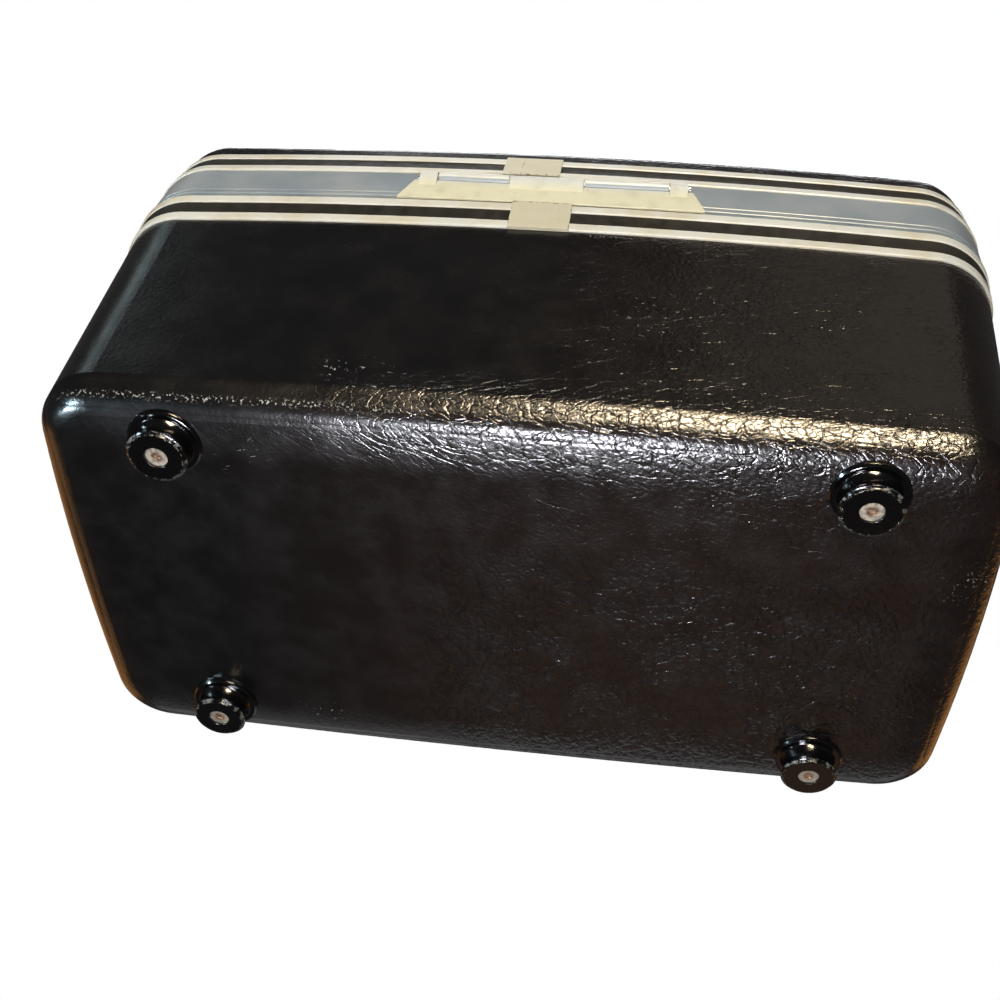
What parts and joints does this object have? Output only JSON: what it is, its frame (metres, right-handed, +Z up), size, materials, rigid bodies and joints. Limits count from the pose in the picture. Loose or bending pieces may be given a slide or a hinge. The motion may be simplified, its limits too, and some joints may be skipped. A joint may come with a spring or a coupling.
{
  "type": "train case",
  "caption": "Deep hard-shell vanity case with rounded tapered tub on feet, shallow hinged lid, two-bead trims, grey band, rear hinge, two latches and top handle",
  "frame": {"origin": "Bottom centre: midway between the ends and between hinge side and latch side, on the plane under the feet", "axes": "+Z up towards the lid, +Y towards the hinge side, -Y the latch side, +X to the right of a person facing the latches"},
  "size_m": [0.3568, 0.2008, 0.2217],
  "materials": {
    "shell_hide": "dark leather-grain covering over a moulded shell, glossy",
    "lining_cloth": "plain woven lining on thin board",
    "band_metal": "blue-grey enamelled band",
    "trim_cream": "cream moulded trim, satin gloss",
    "stripe_dark": "brown-black insert between the beads",
    "clip_tan": "sheet clip enamelled in a darker cream",
    "foot_black": "black moulded foot with a scuffed tip",
    "rivet_metal": "dull beige-silver tubular rivet",
    "hinge_enamel": "cream enamelled hinge",
    "bare_steel": "bare steel",
    "latch_nickel": "nickel-plated, lightly worn",
    "grip_hide": "dark leather-grain padded grip"
  },
  "bodies": {
    "tub": {"tub_shell": "shell_hide", "tub_lining": "lining_cloth", "tub_frame": "band_metal", "tub_trim": "trim_cream", "tub_trim_stripe": "stripe_dark", "tub_trim_clip": "clip_tan", "foot_rear_right": "foot_black", "foot_rear_left": "foot_black", "foot_front_right": "foot_black", "foot_front_left": "foot_black", "foot_rivets": "rivet_metal", "hinge_tub_leaf": "hinge_enamel", "hinge_pin": "bare_steel", "hinge_tub_rivets": "rivet_metal", "latch_plate_right": "latch_nickel", "latch_plate_left": "latch_nickel", "hasp_pin_right": "bare_steel", "hasp_pin_left": "bare_steel", "latch_rivets_right": "rivet_metal", "latch_rivets_left": "rivet_metal", "latch_spring_right": "bare_steel", "latch_spring_left": "bare_steel"},
    "lid": {"lid_shell": "shell_hide", "lid_lining": "lining_cloth", "lid_trim": "trim_cream", "lid_trim_stripe": "stripe_dark", "lid_trim_clip": "clip_tan", "hinge_lid_leaf": "hinge_enamel", "hinge_lid_rivets": "rivet_metal", "latch_keeper_right": "latch_nickel", "latch_keeper_left": "latch_nickel", "handle_bracket_right": "latch_nickel", "handle_bracket_left": "latch_nickel", "handle_pin_right": "bare_steel", "handle_pin_left": "bare_steel", "handle_screws": "bare_steel", "handle_nuts": "bare_steel"},
    "handle": {"handle_grip": "grip_hide", "handle_link_right": "latch_nickel", "handle_link_left": "latch_nickel"},
    "hasp_right": {"hasp_right": "latch_nickel"},
    "hasp_left": {"hasp_left": "latch_nickel"},
    "button_right": {"latch_button_right": "latch_nickel"},
    "button_left": {"latch_button_left": "latch_nickel"}
  },
  "joints": [
    {"name": "lid_hinge", "type": "hinge", "parent": "tub", "child": "lid", "pos_m": [0, 0.0981, 0.1583], "axis": [-1, 0, 0], "range_deg": [0, 100]},
    {"name": "handle_swing", "type": "hinge", "parent": "lid", "child": "handle", "pos_m": [0, 0, 0.2145], "axis": [-1, 0, 0], "range_deg": [0, 180]},
    {"name": "hasp_swing_right", "type": "hinge", "parent": "tub", "child": "hasp_right", "pos_m": [0.096, -0.09878, 0.145], "axis": [1, 0, 0], "range_deg": [0, 115]},
    {"name": "hasp_swing_left", "type": "hinge", "parent": "tub", "child": "hasp_left", "pos_m": [-0.096, -0.09878, 0.145], "axis": [1, 0, 0], "range_deg": [0, 115]},
    {"name": "button_slide_right", "type": "slide", "parent": "tub", "child": "button_right", "axis": [1, 0, 0], "range_m": [0, 0.003], "stiffness_N_per_m": 60, "springref_m": -0.01, "deforming": ["latch_spring_right"]},
    {"name": "button_slide_left", "type": "slide", "parent": "tub", "child": "button_left", "axis": [-1, 0, 0], "range_m": [0, 0.003], "stiffness_N_per_m": 60, "springref_m": -0.01, "deforming": ["latch_spring_left"]}
  ]
}
